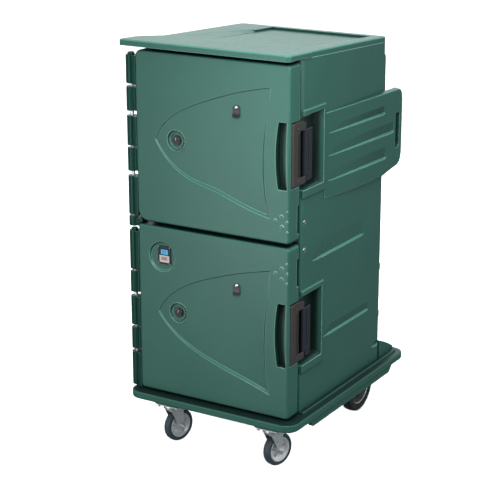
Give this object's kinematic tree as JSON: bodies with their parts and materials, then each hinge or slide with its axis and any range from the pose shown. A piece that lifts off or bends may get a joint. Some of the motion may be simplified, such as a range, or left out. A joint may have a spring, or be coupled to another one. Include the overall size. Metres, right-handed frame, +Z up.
{
  "type": "proofing cabinet",
  "caption": "Tall insulated two-door proofing cabinet on a wheeled bumper base, with side push wings, edge latches, vents and a rear heat and humidity module.",
  "frame": {"origin": "middle of the footprint on the floor", "axes": "+Z up, -Y toward the doors, +X toward the latch side, -X toward the hinge side"},
  "size_m": [0.867, 1.099, 1.8216],
  "materials": {
    "green_shell": "rotomoulded polyethylene, fine mottled texture",
    "liner_plastic": "smooth moulded",
    "hinge_green": "moulded nylon",
    "latch_grey": "moulded nylon, satin",
    "seal_rubber": "soft",
    "steel": "stainless, satin",
    "caster_zinc": "bright zinc plate",
    "hub_silver": "cast, satin",
    "hub_dark": "moulded",
    "tyre_slate": "solid elastomer",
    "tyre_black": "solid elastomer",
    "dark_knob": "moulded",
    "black_trim": "moulded",
    "screen": "display window",
    "module_grey": "moulded",
    "tank_white": "moulded"
  },
  "bodies": {
    "cabinet": {"base_platform": "green_shell", "body_shell": "green_shell", "top_cap": "green_shell", "liner_upper": "liner_plastic", "liner_lower": "liner_plastic", "tray_rails_upper": "steel", "tray_rails_lower": "steel", "latch_keeper_upper": "latch_grey", "latch_keeper_lower": "latch_grey", "side_studs": "steel", "push_wing_right": "green_shell", "push_wing_left": "green_shell", "hinge_body_upper": "hinge_green", "hinge_body_lower": "hinge_green", "hinge_pin_upper": "steel", "hinge_pin_lower": "steel", "module_housing": "module_grey", "power_inlet": "black_trim", "cord_hooks": "black_trim", "caster_plates": "caster_zinc", "rear_axle": "caster_zinc"},
    "upper_door": {"door_upper_shell": "green_shell", "door_upper_liner": "liner_plastic", "door_upper_gasket": "seal_rubber", "hinge_door_upper": "hinge_green", "latch_frame_upper": "latch_grey", "latch_pin_upper": "steel", "clip_screw_upper": "steel"},
    "lower_door": {"door_lower_shell": "green_shell", "door_lower_liner": "liner_plastic", "door_lower_gasket": "seal_rubber", "hinge_door_lower": "hinge_green", "latch_frame_lower": "latch_grey", "latch_pin_lower": "steel", "clip_screw_lower": "steel", "thermo_bezel": "black_trim", "thermo_screen": "screen"},
    "upper_latch": {"latch_paddle_upper": "latch_grey"},
    "lower_latch": {"latch_paddle_lower": "latch_grey"},
    "upper_vent": {"vent_knob_upper": "dark_knob"},
    "lower_vent": {"vent_knob_lower": "dark_knob"},
    "upper_clip": {"menu_clip_upper": "black_trim"},
    "lower_clip": {"menu_clip_lower": "black_trim"},
    "heat_knob": {"module_knob_heat": "dark_knob"},
    "damp_knob": {"module_knob_damp": "dark_knob"},
    "power_rocker": {"module_rocker": "black_trim"},
    "tank": {"water_drawer": "tank_white"},
    "left_caster": {"caster_fork_left": "caster_zinc"},
    "right_caster": {"caster_fork_right": "caster_zinc"},
    "left_caster_wheel": {"caster_hub_left": "hub_silver", "caster_tyre_left": "tyre_slate"},
    "right_caster_wheel": {"caster_hub_right": "hub_silver", "caster_tyre_right": "tyre_slate"},
    "left_brake": {"caster_brake_left": "black_trim"},
    "right_brake": {"caster_brake_right": "black_trim"},
    "left_rear_wheel": {"rear_hub_left": "hub_dark", "rear_tyre_left": "tyre_black"},
    "right_rear_wheel": {"rear_hub_right": "hub_dark", "rear_tyre_right": "tyre_black"}
  },
  "joints": [
    {"name": "upper_door_swing", "type": "hinge", "parent": "cabinet", "child": "upper_door", "pos_m": [-0.4065, -0.47, 1.409], "axis": [0, 0, -1], "range_deg": [0, 200]},
    {"name": "lower_door_swing", "type": "hinge", "parent": "cabinet", "child": "lower_door", "pos_m": [-0.4065, -0.47, 0.642], "axis": [0, 0, -1], "range_deg": [0, 200]},
    {"name": "upper_latch_pull", "type": "hinge", "parent": "upper_door", "child": "upper_latch", "pos_m": [0.3775, -0.376, 1.4085], "axis": [0, 0, -1], "range_deg": [0, 70]},
    {"name": "lower_latch_pull", "type": "hinge", "parent": "lower_door", "child": "lower_latch", "pos_m": [0.3775, -0.376, 0.639], "axis": [0, 0, -1], "range_deg": [0, 70]},
    {"name": "upper_vent_turn", "type": "hinge", "parent": "upper_door", "child": "upper_vent", "pos_m": [-0.1655, -0.495, 1.411], "axis": [0, -1, 0], "range_deg": [0, 90]},
    {"name": "lower_vent_turn", "type": "hinge", "parent": "lower_door", "child": "lower_vent", "pos_m": [-0.1655, -0.495, 0.647], "axis": [0, -1, 0], "range_deg": [0, 90]},
    {"name": "upper_clip_flex", "type": "hinge", "parent": "upper_door", "child": "upper_clip", "pos_m": [0.1315, -0.498, 1.584], "axis": [-1, 0, 0], "range_deg": [0, 5], "stiffness_Nm_per_rad": 0.3, "springref_deg": -2.86},
    {"name": "lower_clip_flex", "type": "hinge", "parent": "lower_door", "child": "lower_clip", "pos_m": [0.1305, -0.498, 0.821], "axis": [-1, 0, 0], "range_deg": [0, 5], "stiffness_Nm_per_rad": 0.3, "springref_deg": -2.86},
    {"name": "heat_knob_turn", "type": "hinge", "parent": "cabinet", "child": "heat_knob", "pos_m": [0.0715, 0.464, 1.52], "axis": [0, -1, 0], "range_deg": [0, 270]},
    {"name": "damp_knob_turn", "type": "hinge", "parent": "cabinet", "child": "damp_knob", "pos_m": [0.2015, 0.464, 1.52], "axis": [0, -1, 0], "range_deg": [0, 270]},
    {"name": "power_rocker_tip", "type": "hinge", "parent": "cabinet", "child": "power_rocker", "pos_m": [-0.1985, 0.4615, 1.523], "axis": [1, 0, 0], "range_deg": [0, 10]},
    {"name": "tank_slide", "type": "slide", "parent": "cabinet", "child": "tank", "axis": [0, 1, 0], "range_m": [0, 0.075]},
    {"name": "left_caster_swivel", "type": "hinge", "parent": "cabinet", "child": "left_caster", "pos_m": [-0.2465, -0.437, 0.17], "axis": [0, 0, 1], "continuous": true},
    {"name": "left_caster_spin", "type": "hinge", "parent": "left_caster", "child": "left_caster_wheel", "pos_m": [-0.23685, -0.40336, 0.075], "axis": [0.9613, -0.2756, 0], "continuous": true},
    {"name": "left_brake_press", "type": "hinge", "parent": "left_caster", "child": "left_brake", "pos_m": [-0.22583, -0.3649, 0.155], "axis": [-0.9613, 0.2756, 0], "range_deg": [0, 12]},
    {"name": "left_rear_spin", "type": "hinge", "parent": "cabinet", "child": "left_rear_wheel", "pos_m": [-0.265, 0.325, 0.127], "axis": [1, 0, 0], "continuous": true},
    {"name": "right_caster_swivel", "type": "hinge", "parent": "cabinet", "child": "right_caster", "pos_m": [0.2695, -0.437, 0.17], "axis": [0, 0, 1], "continuous": true},
    {"name": "right_caster_spin", "type": "hinge", "parent": "right_caster", "child": "right_caster_wheel", "pos_m": [0.27915, -0.40336, 0.075], "axis": [0.9613, -0.2756, 0], "continuous": true},
    {"name": "right_brake_press", "type": "hinge", "parent": "right_caster", "child": "right_brake", "pos_m": [0.29017, -0.3649, 0.155], "axis": [-0.9613, 0.2756, 0], "range_deg": [0, 12]},
    {"name": "right_rear_spin", "type": "hinge", "parent": "cabinet", "child": "right_rear_wheel", "pos_m": [0.288, 0.325, 0.127], "axis": [1, 0, 0], "continuous": true}
  ]
}
